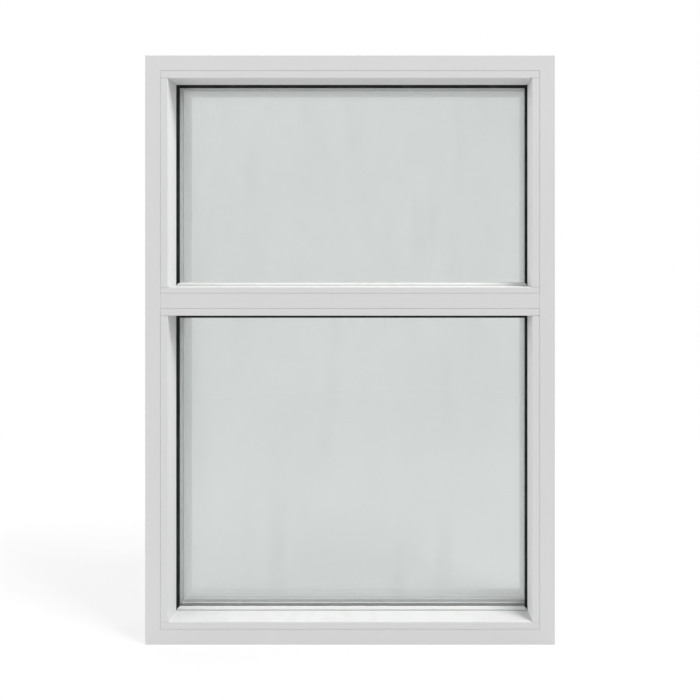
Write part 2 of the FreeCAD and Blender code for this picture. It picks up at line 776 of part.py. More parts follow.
def add_setting_blocks(name, floor):
    """Two blocks under a sealed unit, at its quarter points."""
    blocks = []
    for middle in ("-overall_width / 4", "overall_width / 4"):
        start = middle + " - block_length / 2"
        blocks.append((start, floor, middle + " + block_length / 2", floor + " + edge_clearance"))
    add_plate(name, [("blocks", blocks, GLASS_FRONT, "2 * pane_thickness + pane_gap")])


for prefix, opening, glass, floor, race in (
    ("lower", LOWER_OPENING, LOWER_GLASS, "tube_face", LOW_RACE),
    ("upper", UPPER_OPENING, UPPER_GLASS, TRANSOM_TOP, HIGH_RACE),
):
    add_sealed_unit(prefix, glass)
    add_surround(prefix + "_wedge", [wedge_corners], grown(opening, "wedge_bite"), WEDGE_WIDTH)
    add_rear_gasket(prefix + "_rear_gasket", opening, TRANSOM_TUBE + " + " + race)
    add_setting_blocks(prefix + "_setting_blocks", floor)

# Anchor holes through the room-side jambs, hidden by the beads, and weep slots through the outside


def add_anchor_holes(body):
    sketch = add_sketch(body, "anchor", "YZ_Plane")
    draw_circle(sketch, "anchor_depth", "(overall_height - anchor_spacing) / 2", "anchor_radius")
    hole = add_cut(body, "anchor_hole", sketch)
    doc.recompute()
    pair = body.newObject("PartDesign::LinearPattern", body.Name + "_anchor_pair")
    pair.Originals = [hole]
    pair.Direction = (sketch, ["V_Axis"])
    pair.setExpression("Length", bind("anchor_spacing"))
    pair.Occurrences = 2
    body.Tip = pair


def add_weep_slots(body, left_end, low_edge):
    """Two slots; left_end is where the bar starts from the side, low_edge its lower edge."""
    sketch = add_sketch(body, "weep", "XZ_Plane", behind="(overall_depth + " + PAST + ")")
    height = "(" + low_edge + " + slot_level)"
    for middle in ("slot_from_side", "overall_width - slot_from_side"):
        draw_slot(sketch, "(" + middle + " - " + left_end + ")", height, "slot_width", "slot_tall")
    slots = body.newObject("PartDesign::Pocket", body.Name + "_weep_slots")
    slots.Profile = sketch
    slots.setExpression("Length", bind("wall + 2 * " + PAST))
    slots.Reversed = True


for hand in ("left", "right"):
    add_anchor_holes(doc.getObject("frame_inner_" + hand))
add_weep_slots(doc.getObject("frame_outer_bottom"), "0", "0")
add_weep_slots(transom_outer, "tube_face", LOW_STOP)

doc.recompute()

for item in doc.Objects:
    faults = [word for word in item.State if word in ("Invalid", "Error")]
    if faults:
        raise RuntimeError("%s is %s" % (item.Name, ", ".join(faults)))
for body in bodies:
    if body.Shape.isNull() or not body.Shape.isValid():
        raise RuntimeError("%s has no valid shape" % body.Label)

os.makedirs("parts", exist_ok=True)
for body in bodies:
    body.Shape.exportStep("parts/%s.step" % body.Label)
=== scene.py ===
import math

import bmesh
import bpy
import numpy as np
from bpy.props import FloatProperty, FloatVectorProperty, IntProperty, PointerProperty
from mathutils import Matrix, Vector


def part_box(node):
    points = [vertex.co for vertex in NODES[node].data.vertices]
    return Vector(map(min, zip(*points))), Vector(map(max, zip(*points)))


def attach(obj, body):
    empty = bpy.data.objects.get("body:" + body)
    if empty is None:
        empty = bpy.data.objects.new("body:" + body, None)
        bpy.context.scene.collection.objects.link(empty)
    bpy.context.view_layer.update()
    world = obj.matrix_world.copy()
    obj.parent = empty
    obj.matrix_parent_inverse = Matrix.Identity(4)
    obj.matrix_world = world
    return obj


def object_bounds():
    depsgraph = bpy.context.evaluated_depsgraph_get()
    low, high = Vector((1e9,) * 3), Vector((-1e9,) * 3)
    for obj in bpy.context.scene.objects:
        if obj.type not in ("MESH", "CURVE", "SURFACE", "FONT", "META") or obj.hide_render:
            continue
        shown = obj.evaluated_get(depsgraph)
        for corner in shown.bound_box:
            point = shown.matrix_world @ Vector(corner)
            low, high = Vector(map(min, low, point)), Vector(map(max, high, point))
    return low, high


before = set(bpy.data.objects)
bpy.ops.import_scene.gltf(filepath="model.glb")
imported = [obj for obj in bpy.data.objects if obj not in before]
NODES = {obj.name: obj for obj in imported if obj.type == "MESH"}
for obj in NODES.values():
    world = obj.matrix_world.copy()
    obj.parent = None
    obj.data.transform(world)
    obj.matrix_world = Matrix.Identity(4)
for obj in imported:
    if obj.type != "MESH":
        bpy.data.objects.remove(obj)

bl_info = {
    "name": "Fixed Picture Window",
    "version": (1, 0, 0),
    "blender": (4, 5, 0),
    "location": "3D View > Sidebar > Window",
    "description": "Finishes, sealant, screws, weep baffles and studio for a double-glazed window",
    "category": "Object",
}

MM = 0.001
CAD_LOW, CAD_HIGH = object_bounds()
ROOM_FACE = CAD_LOW.y
OUTSIDE_FACE = CAD_HIGH.y
WHITE = (1.0, 1.0, 1.0, 1.0)
DUST = (0.45, 0.45, 0.44)

# Distances from the middle of a hairline of painted shade beside the beads at which it is gone and at
# which it shows in full
HAIRLINE = (0.9 * MM, 0.3 * MM)


# Shader values


class Value:
    """A socket in a node tree. Python's operators on it add the Math nodes of the expression."""

    def __init__(self, nodes, socket):
        self.nodes = nodes
        self.socket = socket

    def math(self, operation, *terms):
        return self.nodes.node("ShaderNodeMath", {"operation": operation}, dict(enumerate(terms)))

    def __add__(self, other):
        return self.math("ADD", self, other)

    def __radd__(self, other):
        return self.math("ADD", other, self)

    def __sub__(self, other):
        return self.math("SUBTRACT", self, other)

    def __rsub__(self, other):
        return self.math("SUBTRACT", other, self)

    def __mul__(self, other):
        return self.math("MULTIPLY", self, other)

    def __rmul__(self, other):
        return self.math("MULTIPLY", other, self)

    def __truediv__(self, other):
        return self.math("DIVIDE", self, other)

    def __rtruediv__(self, other):
        return self.math("DIVIDE", other, self)

    def __pow__(self, other):
        return self.math("POWER", self, other)

    def __abs__(self):
        return self.math("ABSOLUTE", self)

    def least(self, other):
        return self.math("MINIMUM", self, other)

    def most(self, other):
        return self.math("MAXIMUM", self, other)

    def fraction(self):
        return self.math("FRACT", self)

    def rise(self, low, high):
        """0 below low, 1 above high and a smooth step between; low above high turns it round."""
        settings = {"interpolation_type": "SMOOTHSTEP"}
        if low < high:
            return self.nodes.node("ShaderNodeMapRange", settings, {0: self, 1: low, 2: high})
        return 1 - self.rise(high, low)


class Nodes:
    """The emptied node tree of a material or a world."""

    def __init__(self, owner):
        owner.use_nodes = True
        self.tree = owner.node_tree
        self.tree.nodes.clear()

    def node(self, kind, settings=None, inputs=None, output=0):
        """Adds any node: its settings first, then the values or links of its sockets."""
        made = self.tree.nodes.new(kind)
        for key, value in (settings or {}).items():
            setattr(made, key, value)
        for key, value in (inputs or {}).items():
            if isinstance(value, Value):
                self.tree.links.new(value.socket, made.inputs[key])
            else:
                made.inputs[key].default_value = value
        return Value(self, made.outputs[output]) if made.outputs else made

    def looked_at(self):
        """1 for rays that carry what is seen: straight, in gloss or through glass."""
        path = self.node("ShaderNodeLightPath").socket.node.outputs
        names = ("Is Camera Ray", "Is Glossy Ray", "Is Transmission Ray")
        straight, glossy, bent = (Value(self, path[name]) for name in names)
        return straight.most(glossy).most(bent)


class Finish(Nodes):
    """A material under construction on an object's own coordinates, in metres."""

    def __init__(self, name):
        self.material = bpy.data.materials.new(name)
        super().__init__(self.material)
        self.place = self.node("ShaderNodeTexCoord", output="Object")
        self.x, self.y, self.z = self.axes(self.place)

    def axes(self, vector):
        parts = self.node("ShaderNodeSeparateXYZ", inputs={0: vector}).socket.node
        return [Value(self, socket) for socket in parts.outputs]

    def scaled(self, x, y, z):
        """The place with each axis stretched, for patterns that run along a bar."""
        settings = {"operation": "MULTIPLY"}
        return self.node("ShaderNodeVectorMath", settings, {0: self.place, 1: (x, y, z)})

    def noise(self, scale, detail=3.0, place=None):
        """Smooth noise between 0 and 1, scale in waves per metre."""
        inputs = {"Vector": place or self.place, "Scale": scale, "Detail": detail}
        return self.node("ShaderNodeTexNoise", inputs=inputs)

    def specks(self, scale, size):
        """1 inside small dots scattered at scale dots per metre, each of size times their spacing."""
        inputs = {"Vector": self.place, "Scale": scale}
        return self.node("ShaderNodeTexVoronoi", inputs=inputs).rise(size, size * 0.6)

    def mix(self, factor, first, second):
        """One colour at factor 0, the other at factor 1."""
        inputs = {0: factor}
        for index, colour in ((6, first), (7, second)):
            inputs[index] = colour if isinstance(colour, Value) else (*colour, 1.0)
        return self.node("ShaderNodeMix", {"data_type": "RGBA"}, inputs, output=2)

    def facing(self):
        """The three parts of the surface's own direction."""
        return self.axes(self.node("ShaderNodeNewGeometry", output="Normal"))

    def bump(self, height, depth):
        """A Normal from a height, where a height of 1 stands for a depth in metres."""
        inputs = {"Strength": 1.0, "Distance": depth, "Height": height}
        return self.node("ShaderNodeBump", inputs=inputs)

    def surface(self, **inputs):
        """The principled shader; underscores in the names of its sockets stand for spaces."""
        named = {key.replace("_", " "): value for key, value in inputs.items()}
        if not isinstance(named["Base Color"], Value):
            named["Base Color"] = (*named["Base Color"], 1.0)
        return self.node("ShaderNodeBsdfPrincipled", inputs=named)

    def done(self, shader):
        self.node("ShaderNodeOutputMaterial", inputs={"Surface": shader})
        return self.material


def dress(names, material):
    """Gives the named nodes of the model a material in place of the plain one."""
    for name in names:
        slots = NODES[name].data.materials
        slots.clear()
        slots.append(material)


def nodes_with(*words):
    """The model's nodes whose name holds one of the words."""
    found = [name for name in sorted(NODES) if any(word in name for word in words)]
    if not found:
        raise RuntimeError("no node of the model is named after " + ", ".join(words))
    return found


# Surfaces


def ring_faces(rings, around, closed):
    """Four-cornered faces between neighbouring rings of points, as an array of indices.

    On a closed path the last ring is also joined to the first.
    """
    ring = np.arange(rings if closed else rings - 1)
    ring, point = (part.ravel() for part in np.meshgrid(ring, np.arange(around), indexing="ij"))
    here = ring * around
    there = (ring + 1) % rings * around
    after = (point + 1) % around
    return np.stack([here + point, there + point, there + after, here + after], 1)


def swept(profiles, closed=False):
    """Points and arrays of faces of a closed profile carried along a path.

    profiles has the shape (stations, points round the profile, 3). Unless the path is closed,
    both ends are closed by a fan to the middle of their profile.
    """
    stations, around = profiles.shape[:2]
    points = profiles.reshape(-1, 3)
    quads = ring_faces(stations, around, closed)
    if closed:
        return points, [quads]
    ring = np.arange(around)
    after = (ring + 1) % around
    last = (stations - 1) * around
    middles = np.array([profiles[0].mean(0), profiles[-1].mean(0)])
    first_fan = np.stack([np.full(around, len(points)), ring, after], 1)
    last_fan = np.stack([np.full(around, len(points) + 1), last + after, last + ring], 1)
    return np.vstack([points, middles]), [quads, first_fan, last_fan]


def add_piece(name, shapes, material, smooth=True):
    """One object from several (points, arrays of faces) in metres, on the frame, faces outwards."""
    starts = np.cumsum([0] + [len(points) for points, _ in shapes])
    faces = []
    for start, (_, arrays) in zip(starts, shapes):
        for array in arrays:
            faces.extend((array + start).tolist())
    mesh = bpy.data.meshes.new(name)
    mesh.from_pydata(np.vstack([points for points, _ in shapes]).tolist(), [], faces)
    turned = bmesh.new()
    turned.from_mesh(mesh)
    bmesh.ops.recalc_face_normals(turned, faces=turned.faces)
    turned.to_mesh(mesh)
    turned.free()
    mesh.polygons.foreach_set("use_smooth", np.full(len(faces), smooth))
    mesh.materials.append(material)
    mesh.update()
    piece = bpy.data.objects.new(name, mesh)
    bpy.context.scene.collection.objects.link(piece)
    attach(piece, "root")
    return piece


# Finishes


def nearest(value, marks):
    """How far a value is from the nearest of several marks."""
    first, *others = (abs(value - mark) for mark in marks)
    for other in others:
        first = first.least(other)
    return first


def room_side_seam_shade(paint, from_side, from_end):
    """1 along the hairlines round and between the glazing beads, on the room side, where shade is
    painted in with dust.

    Upright ones follow the outer edges of the upright beads and stop at the transom. Level ones
    follow the outer edges of the level beads. Short ones lie at the ends of the upright beads,
    and a tick at each side of the frame marks the lower edge of the transom. from_side and
    from_end are the distances from the nearer side and the nearer end of the frame.
    """
    lower_low, lower_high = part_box("lower_bead_left")
    upper_low, upper_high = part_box("upper_bead_left")
    sill_bead_low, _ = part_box("lower_bead_bottom")
    transom_low, transom_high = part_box("transom_inner")
    outer_edge = lower_low.x - CAD_LOW.x
    inner_edge = lower_high.x - CAD_LOW.x

    middle = (transom_low.z + transom_high.z) / 2
    half = middle - transom_low.z
    off_transom = abs(paint.z - middle).rise(half, half + MM)
    upright = abs(from_side - outer_edge).rise(*HAIRLINE) * off_transom

    level_edges = (sill_bead_low.z, CAD_HIGH.z - sill_bead_low.z, transom_low.z, transom_high.z)
    level = nearest(paint.z, level_edges).rise(*HAIRLINE)

    ends = nearest(paint.z, (lower_low.z, lower_high.z, upper_low.z, upper_high.z))
    butt = ends.rise(0.8 * MM, 0.3 * MM) * from_side.rise(inner_edge + 0.5 * MM, inner_edge)

    inside = from_side.rise(outer_edge - MM, outer_edge) * from_end.rise(outer_edge - MM, outer_edge)
    tick = abs(paint.z - transom_low.z).rise(1.0 * MM, 0.6 * MM) * from_side.rise(3 * MM, 2 * MM)
    near_face = paint.y.rise(ROOM_FACE + 4 * MM, ROOM_FACE + 2 * MM)
    return (upright.most(level).most(butt) * inside).most(tick) * near_face


def frame_paint(settings):
    """White powder coat: fine orange peel, faint clouding, dust on ledges, hairlines at joints, and
    painted shade with dust along the hairlines beside the beads.
    """
    paint = Finish("white_powder_coat")
    peel = paint.noise(settings.peel_waves, detail=2.0)
    cloud = paint.noise(4.0, detail=4.0)
    streaks = paint.noise(1.0, detail=3.0, place=paint.scaled(60.0, 60.0, 3.0))
    from_side = CAD_HIGH.x - abs(paint.x)
    from_end = paint.z.least(CAD_HIGH.z - paint.z)
    _, profile_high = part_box("frame_outer_left")
    profile_width = profile_high.x - CAD_LOW.x
    near_corner = from_side.rise(profile_width + 0.5 * MM, profile_width)
    width = settings.joint_width
    mitre = abs(from_side - from_end).rise(width, width * 0.4) * near_corner
    # Painted shade, with dust, along the hairlines beside and between the beads
    seam_shade_and_dust = room_side_seam_shade(paint, from_side, from_end)
    _, _, up = paint.facing()
    ledge = up.rise(0.4, 0.9) * paint.noise(35.0, detail=6.0).rise(0.35, 0.75)
    spots = paint.specks(55.0, 0.035) * cloud.rise(0.5, 0.6)
    marks = ledge * 0.16 + spots * 0.35 + streaks.rise(0.55, 0.8) * 0.05
    # Dust and marks, with the mitre lines and the painted shade of the bead hairlines
    dirt_and_shade = (marks + mitre * 0.3 + seam_shade_and_dust * settings.seam_dust_and_shade).least(1.0)
    clean = paint.mix(cloud, settings.colour, [part * 0.965 for part in settings.colour])
    colour = paint.mix(dirt_and_shade * settings.dirt_and_shade, clean, settings.dirt_and_shade_colour)
    roughness = settings.roughness + 0.1 * cloud + 0.15 * dirt_and_shade
    normal = paint.bump(peel - mitre * 2.0, settings.peel_depth * MM)
    return paint.done(
        paint.surface(Base_Color=colour, Roughness=roughness, Normal=normal, Specular_IOR_Level=0.45)
    )


def clear_glass(settings):
    """Float glass with a see-through tint on each face, a thin mirror film and a little dust.

    The light of lamps passes it almost whole, as in clear glass, so that the reveals are lit.
    """
    glass = Finish("clear_float_glass")
    turned = glass.node("ShaderNodeLayerWeight", inputs={"Blend": 0.5}, output="Facing")
    cloud = glass.noise(2.2, detail=5.0).rise(0.3, 0.8)
    wiped = glass.noise(1.0, detail=4.0, place=glass.scaled(15.0, 15.0, 3.0)).rise(0.5, 0.75)
    smear = cloud * 0.5 + wiped * 0.5
    film = settings.reflection + (0.6 * turned**5)
    mirror = glass.surface(
        Base_Color=(0.86, 0.88, 0.87),
        Metallic=1.0,
        Roughness=0.02 + smear * 0.05,
    )
    through = glass.node("ShaderNodeBsdfTransparent", inputs={"Color": (*settings.tint, 1.0)})
    clean = glass.node("ShaderNodeMixShader", inputs={0: film.least(0.9), 1: through, 2: mirror})
    dust = glass.surface(Base_Color=DUST, Roughness=0.9)
    seen = glass.node("ShaderNodeMixShader", inputs={0: smear * settings.haze, 1: clean, 2: dust})
    for_lamps = glass.node("ShaderNodeLightPath", output="Is Shadow Ray")
    passed = glass.node("ShaderNodeBsdfTransparent", inputs={"Color": (0.98, 0.98, 0.98, 1.0)})
    return glass.done(glass.node("ShaderNodeMixShader", inputs={0: for_lamps, 1: seen, 2: passed}))


def extruded_rubber(name, settings, base, roughness):
    """Extruded rubber: fine lines along the bar and a dusty bloom in patches."""
    rubber = Finish(name)
    lines_level = rubber.noise(1.0, detail=2.0, place=rubber.scaled(2.0, 1500.0, 1500.0))
    lines_upright = rubber.noise(1.0, detail=2.0, place=rubber.scaled(1500.0, 1500.0, 2.0))
    across, _, _ = rubber.facing()
    sideways = abs(across).rise(0.4, 0.6)
    lines = lines_level * (1 - sideways) + lines_upright * sideways
    bloom = rubber.noise(38.0, detail=6.0).rise(0.4, 0.8)
    bloomed = [part + shade for part, shade in zip(base, settings.bloom_colour)]
    colour = rubber.mix(bloom * settings.bloom, base, bloomed)
    return rubber.done(
        rubber.surface(
            Base_Color=colour,
            Roughness=roughness + 0.25 * bloom,
            Normal=rubber.bump(lines, 0.03 * MM),
            Specular_IOR_Level=0.12,
        )
    )


def filled_polyamide():
    """Dark moulded strip with short glass fibres that show as pale flecks along its length."""
    strip = Finish("glass_filled_polyamide")
    flecks = strip.noise(1.0, detail=2.0, place=strip.scaled(400.0, 2600.0, 400.0)).rise(0.62, 0.75)
    cloud = strip.noise(20.0, detail=4.0)
    colour = strip.mix(flecks * 0.3, (0.012, 0.012, 0.014), (0.11, 0.11, 0.11))
    return strip.done(
        strip.surface(
            Base_Color=colour,
            Roughness=0.5 + 0.2 * cloud,
            Normal=strip.bump(flecks + cloud, 0.04 * MM),
        )
    )


def spacer_metal():
    """Mill-finish spacer: breathing holes along its middle, with a rolled seam on each side, both
    painted dark as shade.

    At the foot of the lower light, a ragged black band of painted shade covers the two thirds next to
    the room.
    """
    spacer = Finish("perforated_spacer")
    low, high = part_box("lower_spacer")
    middle = (low.y + high.y) / 2
    across, _, _ = spacer.facing()
    sideways = abs(across).rise(0.4, 0.6)
    pitch = 4.0 * MM
    along = spacer.x * (1 - sideways) + spacer.z * sideways
    step = ((along / pitch).fraction() - 0.5) * pitch
    hole = (step * step + (spacer.y - middle) ** 2.0) ** 0.5
    holes = hole.rise(0.75 * MM, 0.5 * MM)
    rolled = spacer.noise(1.0, detail=3.0, place=spacer.scaled(8.0, 2400.0, 8.0))
    seam_offset = 3.6 * MM
    seams = abs(abs(spacer.y - middle) - seam_offset).rise(0.5 * MM, 0.1 * MM)
    # The holes and rolled seams are painted dark as shade
    bare = spacer.mix((holes + seams * 0.4).least(1.0), (0.86, 0.87, 0.87), (0.05, 0.05, 0.05))
    # Painted shade: a ragged black band over the spacer at the foot of the lower light, where it is also
    # less metallic
    ragged = spacer.noise(1.0, detail=5.0, place=spacer.scaled(90.0, 30.0, 30.0)) - 0.5
    from_pane = spacer.y - low.y + ragged * 4 * MM
    at_foot = spacer.z.rise(low.z + 16 * MM, low.z + 14 * MM)
    painted_shade_band = from_pane.rise(9.5 * MM, 8.5 * MM) * at_foot
    colour = spacer.mix(painted_shade_band * 0.95, bare, (0.012, 0.012, 0.012))
    return spacer.done(
        spacer.surface(
            Base_Color=colour,
            Metallic=0.6 * (1.0 - holes.most(painted_shade_band)),
            Roughness=0.3 + 0.2 * rolled,
            Normal=spacer.bump(rolled * 0.2 - holes - seams, 0.3 * MM),
        )
    )


def cast_metal():
    """Corner keys as cast: grey, grainy, with brighter rubbed patches."""
    metal = Finish("cast_corner_key")
    grain = metal.noise(900.0, detail=4.0)
    rubbed = metal.noise(60.0, detail=4.0).rise(0.5, 0.7)
    colour = metal.mix(rubbed, (0.36, 0.37, 0.38), (0.55, 0.56, 0.57))
    return metal.done(
        metal.surface(
            Base_Color=colour,
            Metallic=0.9,
            Roughness=0.6 - 0.2 * rubbed,
            Normal=metal.bump(grain, 0.08 * MM),
        )
    )


def edge_sealant():
    """Dark two-part sealant, gunned on, with faint ripples and bubbles."""
    seal = Finish("edge_sealant")
    ripple = seal.noise(150.0, detail=4.0)
    bubbles = seal.specks(500.0, 0.12)
    colour = seal.mix(ripple, (0.018, 0.018, 0.02), (0.05, 0.05, 0.055))
    return seal.done(
        seal.surface(
            Base_Color=colour,
            Roughness=0.45 + 0.2 * ripple,
            Normal=seal.bump(ripple - bubbles, 0.2 * MM),
        )
    )


def white_sealant(settings):
    """Tooled silicone: soft sheen, fine drag lines along the joint and a trace of dust."""
    seal = Finish("white_cap_sealant")
    drag = seal.noise(1.0, detail=3.0, place=seal.scaled(30.0, 1200.0, 1200.0))
    dust = seal.noise(70.0, detail=5.0).rise(0.5, 0.8)
    colour = seal.mix(dust * 0.25, settings.colour, DUST)
    return seal.done(
        seal.surface(
            Base_Color=colour,
            Roughness=0.35 + 0.2 * dust,
            Normal=seal.bump(drag, 0.05 * MM),
            Subsurface_Weight=0.1,
            Subsurface_Scale=1.0 * MM,
        )
    )


def zinc_plate():
    """Bright zinc-plated steel with a cloudy, slightly warm film."""
    zinc = Finish("zinc_plated_steel")
    film = zinc.noise(400.0, detail=4.0)
    colour = zinc.mix(film, (0.55, 0.56, 0.58), (0.62, 0.6, 0.52))
    return zinc.done(
        zinc.surface(
            Base_Color=colour,
            Metallic=1.0,
            Roughness=0.28 + 0.25 * film,
            Normal=zinc.bump(film, 0.02 * MM),
        )
    )


def baffle_plastic():
    """White moulded plastic with a fine spark-eroded grain."""
    plastic = Finish("white_baffle_plastic")
    grain = plastic.noise(1800.0, detail=3.0)
    dust = plastic.noise(120.0, detail=4.0).rise(0.5, 0.8)
    colour = plastic.mix(dust * 0.4, (0.66, 0.665, 0.66), (0.35, 0.34, 0.33))
    return plastic.done(
        plastic.surface(
            Base_Color=colour,
            Roughness=0.5 + 0.15 * dust,
            Normal=plastic.bump(grain, 0.02 * MM),
        )
    )


# Properties


class PaintSettings(bpy.types.PropertyGroup):
    colour: FloatVectorProperty(
        name="Paint",
        description="Colour of the powder coat",
        subtype="COLOR",
        size=3,
        min=0.0,
        max=1.0,
        default=(0.70, 0.705, 0.70),
    )
    # Also the colour of the painted shade in the bead hairlines
    dirt_and_shade_colour: FloatVectorProperty(
        name="Dirt",
        description="Colour of dust and marks on the paint",
        subtype="COLOR",
        size=3,
        min=0.0,
        max=1.0,
        default=(0.28, 0.27, 0.26),
    )
    # Also scales the painted shade in the bead hairlines
    dirt_and_shade: FloatProperty(
        name="Dirt amount",
        description="How much the dust and marks show",
        min=0.0,
        max=1.0,
        default=0.5,
    )
    roughness: FloatProperty(
        name="Roughness",
        description="Roughness of the clean paint",
        min=0.0,
        max=1.0,
        default=0.36,
    )
    peel_waves: FloatProperty(
        name="Orange peel",
        description="Waves of orange peel in a metre",
        min=10.0,
        default=650.0,
    )
    peel_depth: FloatProperty(
        name="Peel depth",
        description="Depth of the orange peel, in millimetres",
        min=0.0,
        default=0.035,
    )
    # Painted shade, with dust, in the hairlines beside the beads
    seam_dust_and_shade: FloatProperty(
        name="Seam dust",
        description="Dust in the hairlines beside the beads",
        min=0.0,
        max=1.0,
        default=0.6,
    )
    joint_width: FloatProperty(
        name="Mitre hairline",
        description="Half the width of the hairline at a mitre",
        unit="LENGTH",
        subtype="DISTANCE",
        min=0.0,
        default=0.00022,
    )


class GlassSettings(bpy.types.PropertyGroup):
    tint: FloatVectorProperty(
        name="Tint",
        description="What one face of a pane lets through",
        subtype="COLOR",
        size=3,
        min=0.0,
        max=1.0,
        default=(0.90, 0.91, 0.906),
    )
    reflection: FloatProperty(
        name="Reflection",
        description="What one face reflects, seen straight on",
        min=0.0,
        max=1.0,
        default=0.25,
    )
    haze: FloatProperty(
        name="Haze",
        description="How much light the dust on a face takes up",
        min=0.0,
        max=1.0,
        default=0.035,
    )


class RubberSettings(bpy.types.PropertyGroup):
    colour: FloatVectorProperty(
        name="Rubber",
        description="Colour of the gaskets and blocks",
        subtype="COLOR",
        size=3,
        min=0.0,
        max=1.0,
        default=(0.006, 0.006, 0.0065),
    )
    bleached_colour: FloatVectorProperty(
        name="Bleached rubber",
        description="Colour of the rear gaskets, which the sun has turned grey",
        subtype="COLOR",
        size=3,
        min=0.0,
        max=1.0,
        default=(0.16, 0.16, 0.158),
    )
    bloom_colour: FloatVectorProperty(
        name="Bloom",
        description="What the bloom on old rubber adds to its colour",
        subtype="COLOR",
        size=3,
        min=0.0,
        max=1.0,
        default=(0.06, 0.06, 0.058),
    )
    bloom: FloatProperty(
        name="Bloom amount",
        description="How much the bloom shows",
        min=0.0,
        max=1.0,
        default=0.35,
    )


class CapBeadSettings(bpy.types.PropertyGroup):
    colour: FloatVectorProperty(
        name="Sealant",
        description="Colour of the cap beads",
        subtype="COLOR",
        size=3,
        min=0.0,
        max=1.0,
        default=(0.72, 0.725, 0.72),
    )
    rise: FloatProperty(
        name="Rise",
        description="Height of a cap bead at the glass above the edge of the glazing bead",
        unit="LENGTH",
        subtype="DISTANCE",
        min=0.0,
        default=0.0062,
    )
    lap: FloatProperty(
        name="Lap",
        description="Height of its lower edge above the edge of the glazing bead",
        unit="LENGTH",
        subtype="DISTANCE",
        min=0.0,
        default=0.0011,
    )
    waver: FloatProperty(
        name="Waver",
        description="How far the tooled surface wanders",
        unit="LENGTH",
        subtype="DISTANCE",
        min=0.0,
        default=0.00018,
    )


class ScrewSettings(bpy.types.PropertyGroup):
    head_radius: FloatProperty(
        name="Head radius",
        description="Radius of a screw head",
        unit="LENGTH",
        subtype="DISTANCE",
        min=0.001,
        default=0.0043,
    )
    head_height: FloatProperty(
        name="Head height",
        description="Height of a screw head",
        unit="LENGTH",
        subtype="DISTANCE",
        min=0.001,
        default=0.0029,
    )
    shank_length: FloatProperty(
        name="Shank length",
        description="Length of a screw under its head",
        unit="LENGTH",
        subtype="DISTANCE",
        min=0.001,
        default=0.032,
    )


class BaffleSettings(bpy.types.PropertyGroup):
    wall: FloatProperty(
        name="Wall",
        description="Wall of a weep baffle",
        unit="LENGTH",
        subtype="DISTANCE",
        min=0.0002,
        default=0.0007,
    )
    clearance: FloatProperty(
        name="Clearance",
        description="Play of a baffle in its slot",
        unit="LENGTH",
        subtype="DISTANCE",
        min=0.0,
        default=0.00012,
    )
    slats: IntProperty(name="Slats", description="Slats across a baffle", min=1, max=4, default=2)


class StudioSettings(bpy.types.PropertyGroup):
    eye: FloatVectorProperty(
        name="Eye",
        description="Place of the camera",
        subtype="TRANSLATION",
        unit="LENGTH",
        size=3,
        default=(0.1404, ROOM_FACE - 1.157, 0.8364),
    )
    lens: FloatProperty(
        name="Lens",
        description="Focal length in millimetres",
        min=1.0,
        default=26.7,
    )
    shift: FloatVectorProperty(
        name="Shift",
        description="Shift of the lens across and up",
        size=2,
        default=(-0.09, -0.115),
    )
    sky: FloatProperty(name="Sky", description="Light from all round", min=0.0, default=0.44)
    key: FloatProperty(
        name="Key",
        description="Power of the high light on the right",
        unit="POWER",
        min=0.0,
        default=170.0,
    )
    fill: FloatProperty(
        name="Fill",
        description="Power of each low light round the window",
        unit="POWER",
        min=0.0,
        default=35.0,
    )
    floor: FloatProperty(
        name="Floor",
        description="Half the side of the floor",
        unit="LENGTH",
        subtype="DISTANCE",
        min=1.0,
        default=6.0,
    )


class WindowSettings(bpy.types.PropertyGroup):
    paint: PointerProperty(type=PaintSettings, name="Paint", description="Powder coat of the frame")
    glass: PointerProperty(type=GlassSettings, name="Glass", description="The four panes")
    rubber: PointerProperty(type=RubberSettings, name="Rubber", description="Gaskets and blocks")
    cap_bead: PointerProperty(type=CapBeadSettings, name="Cap beads", description="White sealant")
    screw: PointerProperty(type=ScrewSettings, name="Screws", description="Transom screws")
    baffle: PointerProperty(type=BaffleSettings, name="Baffles", description="Weep baffles")
    studio: PointerProperty(
        type=StudioSettings,
        name="Studio",
        description="Camera, lights and floor",
    )


# Operators


class WINDOW_OT_paint_frame(bpy.types.Operator):
    """Powder coat on the frame, the transom and the glazing beads"""

    bl_idname = "window.paint_frame"
    bl_label = "Paint Frame"

    def execute(self, context):
        painted = nodes_with("frame_", "_bead_", "transom_inner", "transom_outer")
        dress(painted, frame_paint(context.scene.picture_window.paint))
        return {"FINISHED"}


class WINDOW_OT_finish_glass(bpy.types.Operator):
    """Clear glass on the four panes, with the spacers and the edge seal between them"""

    bl_idname = "window.finish_glass"
    bl_label = "Finish Glass"

    def execute(self, context):
        dress(nodes_with("_pane_"), clear_glass(context.scene.picture_window.glass))
        dress(nodes_with("_spacer"), spacer_metal())
        dress(nodes_with("_edge_seal"), edge_sealant())
        return {"FINISHED"}


class WINDOW_OT_finish_rubber(bpy.types.Operator):
    """Rubber on the gaskets and setting blocks, black but for the bleached rear gaskets"""

    bl_idname = "window.finish_rubber"
    bl_label = "Finish Rubber"

    def execute(self, context):
        settings = context.scene.picture_window.rubber
        kinds = (
            ("_wedge_", "wedge_gasket_rubber", settings.colour, 0.32),
            ("_rear_gasket", "rear_gasket_rubber", settings.bleached_colour, 0.5),
            ("_setting_blocks", "setting_block_rubber", settings.colour, 0.55),
        )
        for word, name, base, roughness in kinds:
            dress(nodes_with(word), extruded_rubber(name, settings, base, roughness))
        return {"FINISHED"}


class WINDOW_OT_finish_hidden(bpy.types.Operator):
    """Polyamide on the thermal strips and cast metal on the corner keys"""

    bl_idname = "window.finish_hidden"
    bl_label = "Finish Strips and Keys"

    def execute(self, context):
        dress(nodes_with("thermal_strip", "transom_strip"), filled_polyamide())
        dress(nodes_with("corner_keys"), cast_metal())
        return {"FINISHED"}


